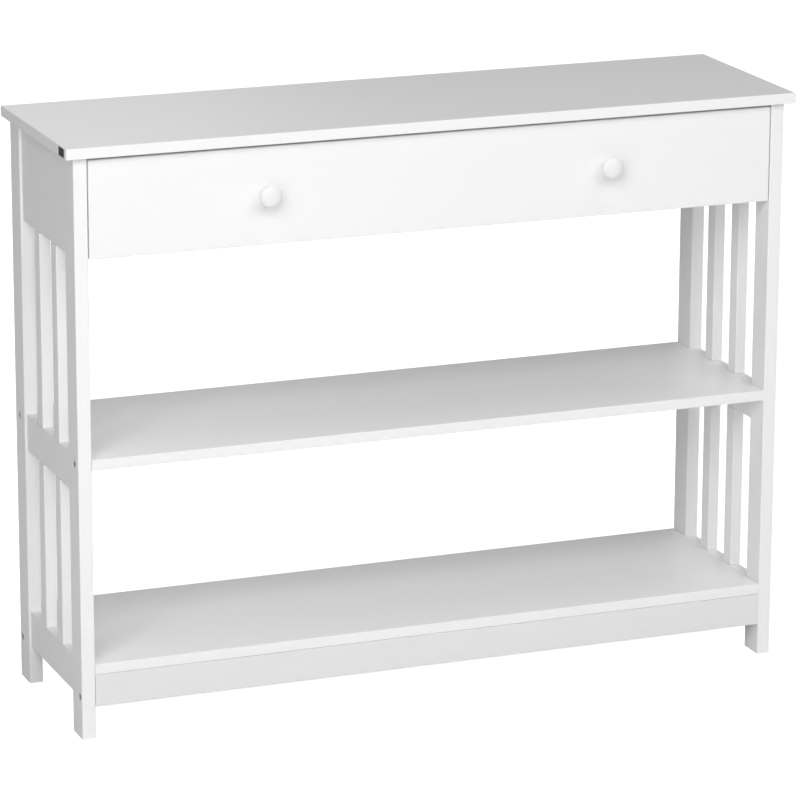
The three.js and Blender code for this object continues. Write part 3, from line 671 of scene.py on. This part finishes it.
def bent_strip(corners, thickness, radius, steps=5):
    """Outline of a sheet folded at right angles along a line of 2-D corners, with round bends."""
    middle = [corners[0]]
    for before, corner, after in zip(corners, corners[1:], corners[2:]):
        back = (before - corner).normalized()
        onward = (after - corner).normalized()
        centre = corner + (back + onward) * radius
        for step in range(steps + 1):
            turn = step / steps * math.pi / 2
            middle.append(centre - onward * radius * math.cos(turn) - back * radius * math.sin(turn))
    middle.append(corners[-1])
    one_face, other_face = [], []
    for i, point in enumerate(middle):
        run = middle[min(i + 1, len(middle) - 1)] - middle[max(i - 1, 0)]
        across = Vector((-run.y, run.x)).normalized() * thickness / 2
        one_face.append(point + across)
        other_face.append(point - across)
    return one_face + other_face[::-1]


def rolled_section(outline, from_y, to_y):
    """A closed outline in X and Z drawn out along Y."""
    bm = bmesh.new()
    front = [bm.verts.new((p.x, from_y, p.y)) for p in outline]
    back = [bm.verts.new((p.x, to_y, p.y)) for p in outline]
    bm.faces.new(front)
    bm.faces.new(back[::-1])
    for i in range(len(outline)):
        j = (i + 1) % len(outline)
        bm.faces.new((front[j], front[i], back[i], back[j]))
    bmesh.ops.recalc_face_normals(bm, faces=bm.faces)
    return bm


def slot_cutter(place):
    """A long round-ended hole through a runner's web, along Y."""
    half = (SLOT_LENGTH - SLOT_WIDTH) / 2
    outline = []
    for centre, start in ((half, -math.pi / 2), (-half, math.pi / 2)):
        for i in range(9):
            turn = start + math.pi * i / 8
            outline.append((centre + SLOT_WIDTH / 2 * math.cos(turn), SLOT_WIDTH / 2 * math.sin(turn)))
    reach = 2 * SHEET
    bm = bmesh.new()
    near = [bm.verts.new((-reach, y, z)) for y, z in outline]
    far = [bm.verts.new((reach, y, z)) for y, z in outline]
    bm.faces.new(near)
    bm.faces.new(far[::-1])
    for i in range(len(outline)):
        j = (i + 1) % len(outline)
        bm.faces.new((near[j], near[i], far[i], far[j]))
    bmesh.ops.recalc_face_normals(bm, faces=bm.faces)
    bm.transform(Matrix.Translation(place))
    return bm


def axle_shape(head_from):
    """An axle along Z with a rounded, dimpled rivet head that starts at a height."""
    rim = 0.25 * MM
    head_to = head_from + AXLE_HEAD_WIDTH
    head_core = AXLE_HEAD_RADIUS - rim
    rings = [(0, 0), (0, AXLE_RADIUS), (head_from, AXLE_RADIUS), (head_from, head_core)]
    rings += arc(head_from + rim, head_core, rim, -90, 0, 3)[1:]
    rings += arc(head_to - rim, head_core, rim, 0, 90, 3)
    rings += [(head_to, AXLE_RADIUS), (head_to - rim, AXLE_RADIUS / 2), (head_to - rim, 0)]
    return ring_solid(rings, ROUND_STEPS)


def runner(node, side, roller, on_drawer):
    """One rolled runner with its slots, the axle of its roller and the screws that hold it."""
    low, high, _ = box_of(node)
    half = SHEET / 2
    web_side = -side if on_drawer else side
    web_face = high.x if web_side > 0 else low.x
    flange_x = low.x if web_side > 0 else high.x
    web_x = web_face - web_side * half
    top, bottom = high.z - half, low.z + half
    if on_drawer:
        corners = [(flange_x, top), (web_x, top), (web_x, low.z)]
    else:
        lip_x = web_face - web_side * CABINET_LIP
        corners = [(flange_x, bottom), (web_x, bottom), (web_x, top), (lip_x, top)]
    corners = [Vector(corner) for corner in corners]
    bm = rolled_section(bent_strip(corners, SHEET, BEND_RADIUS + half), low.y, high.y)
    roller_low, roller_high, roller_middle = box_of(roller)
    for share in RUNNER_SLOTS:
        place = (web_x, low.y + share * (high.y - low.y), roller_middle.z)
        bm = combined(bm, slot_cutter(place), "DIFFERENCE")
    roller_end = roller_low.x if web_side > 0 else roller_high.x
    axle = axle_shape(abs(roller_end - web_x) + AXLE_END_PLAY)
    axle.transform(pointing((web_x, roller_middle.y, roller_middle.z), (-web_side, 0, 0)))
    bm = combined(bm, axle, "UNION")
    stand_for(node, bm, "rolled")
    length = DRAWER_RUNNER_SCREW if on_drawer else CABINET_RUNNER_SCREW
    for number, share in enumerate(RUNNER_SCREWS, 1):
        place = (web_x - web_side * half, low.y + share * (high.y - low.y), roller_middle.z)
        wood_screw(f"{node}_screw_{number}", place, (-web_side, 0, 0), length, BODIES[node])


def roller_wheel(node):
    """A moulded roller with a rounded tread and dished sides."""
    low, high, middle = box_of(node)
    half = (high.x - low.x) / 2
    radius = (high.z - low.z) / 2
    bore = AXLE_RADIUS + 0.1 * MM
    dish = 0.6 * MM
    tread = 0.8 * MM
    profile = [(-half, bore), (-half, bore + 1.5 * MM), (dish - half, bore + 2 * MM)]
    profile += [(dish - half, radius - 2.4 * MM), (-half, radius - 2 * MM)]
    profile += arc(tread - half, radius - tread, tread, -90, 0)
    rings = profile + [(-height, reach) for height, reach in reversed(profile)]
    bm = ring_solid(rings, FINE_STEPS, closed=True)
    bm.transform(pointing(middle, (1, 0, 0)))
    stand_for(node, bm, "moulded")


def edge_plate(node):
    """A blank plate with round corners and a thin raised border."""
    low, high, middle = box_of(node)
    bm = bmesh.new()
    bmesh.ops.create_cube(bm, size=1)
    bm.transform(Matrix.Translation(middle) @ Matrix.Diagonal((*(high - low), 1)))
    corners = [e for e in bm.edges if abs((e.verts[0].co - e.verts[1].co).x) > 0.1 * MM]
    bmesh.ops.bevel(bm, geom=corners, offset=TAG_CORNER, segments=5, profile=0.5, affect="EDGES")
    face = min(bm.faces, key=lambda f: f.calc_center_median().x)
    bmesh.ops.inset_region(bm, faces=[face], thickness=TAG_BORDER, depth=0)
    bmesh.ops.inset_region(bm, faces=[face], thickness=TAG_STEP_WIDTH, depth=-TAG_STEP_DEPTH)
    stand_for(node, bm, "plate")


# The rest of the screws, placed as shares of the length of the piece that they go through.


def cleat_screws(side_name, side):
    """Screws up into the top and sideways into the side frame."""
    low, high, middle = box_of(f"{side_name}_top_cleat")
    for number, share in enumerate((0.08, 0.5, 0.92), 1):
        place = (middle.x, low.y + share * (high.y - low.y), low.z)
        wood_screw(f"{side_name}_cleat_top_screw_{number}", place, (0, 0, -1), CLEAT_SCREW, "frame")
    inner_x = low.x if side > 0 else high.x
    for number, share in enumerate((0.27, 0.73), 1):
        place = (inner_x, low.y + share * (high.y - low.y), middle.z)
        wood_screw(f"{side_name}_cleat_side_screw_{number}", place, (-side, 0, 0), CLEAT_SCREW, "frame")


def drawer_corner_screws(side_name, side):
    """Screws through a drawer side into the end of the drawer's back."""
    low, high, _ = box_of(f"drawer_{side_name}_side")
    back = box_of("drawer_back")[2]
    outer_x = high.x if side > 0 else low.x
    for number, height in enumerate((back.z, high.z - CORNER_SCREW_INSET), 1):
        name = f"drawer_{side_name}_corner_screw_{number}"
        wood_screw(name, (outer_x, back.y, height), (side, 0, 0), CORNER_SCREW, "drawer")


def shelf_screws(end):
    """Long screws up through an apron into the bottom shelf."""
    low, high, middle = box_of(f"bottom_{end}_apron")
    for number, share in enumerate((0.12, 0.37, 0.63, 0.88), 1):
        place = (low.x + share * (high.x - low.x), middle.y, low.z)
        wood_screw(f"bottom_{end}_apron_screw_{number}", place, (0, 0, -1), APRON_SCREW, "frame")


def add_object():
    for side_name, side in SIDES.items():
        turned_knob(f"{side_name}_knob")
        knob_screw(f"{side_name}_knob_screw")
        for end, facing in (("front", 1), ("back", -1)):
            place = f"{side_name}_{end}"
            for row, outward in (("middle_shelf", (0, 0, -1)), ("apron", (0, facing, 0))):
                connector_bolt(f"{place}_{row}_bolt", side)
                barrel_nut(f"{place}_{row}_barrel_nut", outward)
        runner(f"{side_name}_cabinet_runner", side, f"{side_name}_cabinet_roller", on_drawer=False)
        runner(f"{side_name}_drawer_runner", side, f"{side_name}_drawer_roller", on_drawer=True)
        roller_wheel(f"{side_name}_cabinet_roller")
        roller_wheel(f"{side_name}_drawer_roller")
        cleat_screws(side_name, side)
        drawer_corner_screws(side_name, side)
    shelf_screws("front")
    shelf_screws("back")
    edge_plate("edge_tag")
    turned = {"left_knob", "right_knob"}
    for node, slot in sorted(SLOTS.items()):
        if slot in ("white_painted_wood", "drawer_board", "drawer_hardboard") and node not in turned:
            rounded_board(node)


add_camera()
add_lights()
add_floor()
add_object()
